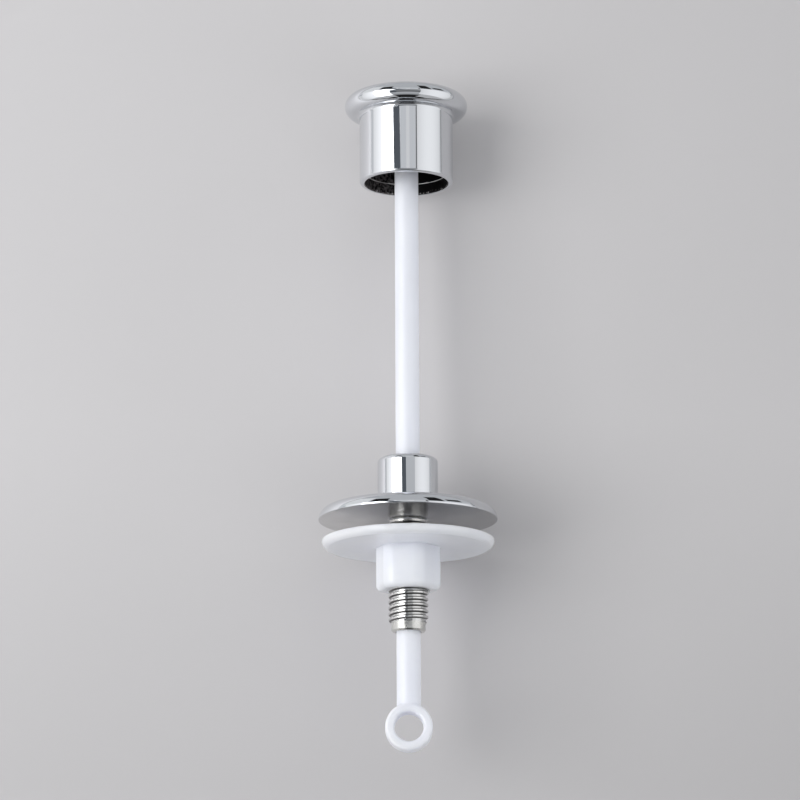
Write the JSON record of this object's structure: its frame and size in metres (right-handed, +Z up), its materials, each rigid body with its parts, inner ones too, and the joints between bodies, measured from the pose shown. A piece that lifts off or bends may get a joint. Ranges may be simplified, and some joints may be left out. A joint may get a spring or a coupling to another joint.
{
  "type": "cistern pull knob",
  "caption": "Cistern-lid pull knob: chromed cup knob on a white lift rod with an eye, sliding through a domed lid guide whose threaded shank is held by a flanged nut.",
  "frame": {"origin": "on the rod's axis, on the flange's flat underside, where the cistern lid seats", "axes": "+Z up along the rod towards the knob, -Y towards the front, where the eye shows face on"},
  "size_m": [0.0446, 0.0446, 0.1688],
  "materials": {
    "knob_chrome": "bright chrome plate",
    "rod_plastic": "white moulded plastic, satin",
    "guide_chrome": "bright chrome plate above, turned grey metal below the flange",
    "nut_plastic": "white moulded plastic, semi-gloss"
  },
  "bodies": {
    "guide": {"lid_guide": "guide_chrome"},
    "pull": {"pull_rod": "rod_plastic", "pull_knob": "knob_chrome"},
    "nut": {"lock_nut": "nut_plastic"}
  },
  "joints": [
    {"name": "pull_slide", "type": "slide", "parent": "guide", "child": "pull", "axis": [0, 0, 1], "range_m": [-0.082, 0.018]},
    {"name": "nut_travel", "type": "slide", "parent": "guide", "child": "nut", "axis": [0, 0, 1], "range_m": [-0.008, 0.0048]}
  ]
}
